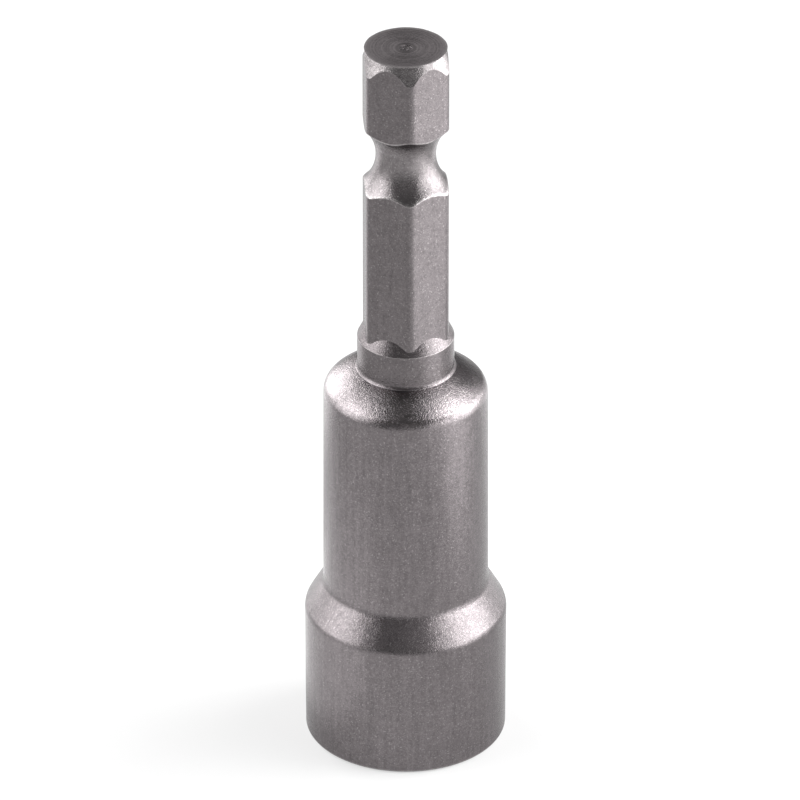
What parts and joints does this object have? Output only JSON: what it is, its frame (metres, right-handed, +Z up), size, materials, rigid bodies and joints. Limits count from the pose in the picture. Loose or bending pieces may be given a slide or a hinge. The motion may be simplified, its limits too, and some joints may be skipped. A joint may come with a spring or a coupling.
{
  "type": "magnetic nut setter",
  "caption": "Steel nut setter with a hexagon drive shank, detent groove and collar, a stepped round socket sleeve and a spring-backed magnet that holds the nut.",
  "frame": {"origin": "centre of the nut socket's mouth, in the plane of the mouth", "axes": "+Z runs up the tool's axis from the socket's mouth to the end of the drive shank; the corners of both hexagons point along +Y and -Y, and X is square to one pair of flats"},
  "size_m": [0.0156, 0.0156, 0.06],
  "materials": {
    "shank_steel": "fine bead-blasted satin steel",
    "sleeve_steel": "fine bead-blasted satin steel with faint lengthwise marks",
    "ring_steel": "dark oiled spring steel",
    "holder_brass": "turned brass",
    "magnet_nickel": "satin nickel plating",
    "spring_wire": "drawn spring wire"
  },
  "bodies": {
    "tool_body": {"drive_shank": "shank_steel", "socket_sleeve": "sleeve_steel", "retaining_ring": "ring_steel", "return_spring": "spring_wire"},
    "magnet_carrier": {"magnet_holder": "holder_brass", "magnet": "magnet_nickel"}
  },
  "joints": [
    {"name": "magnet_plunge", "type": "slide", "parent": "tool_body", "child": "magnet_carrier", "axis": [0, 0, 1], "range_m": [0, 0.004], "stiffness_N_per_m": 600, "springref_m": -0.003, "deforming": ["return_spring"]}
  ]
}
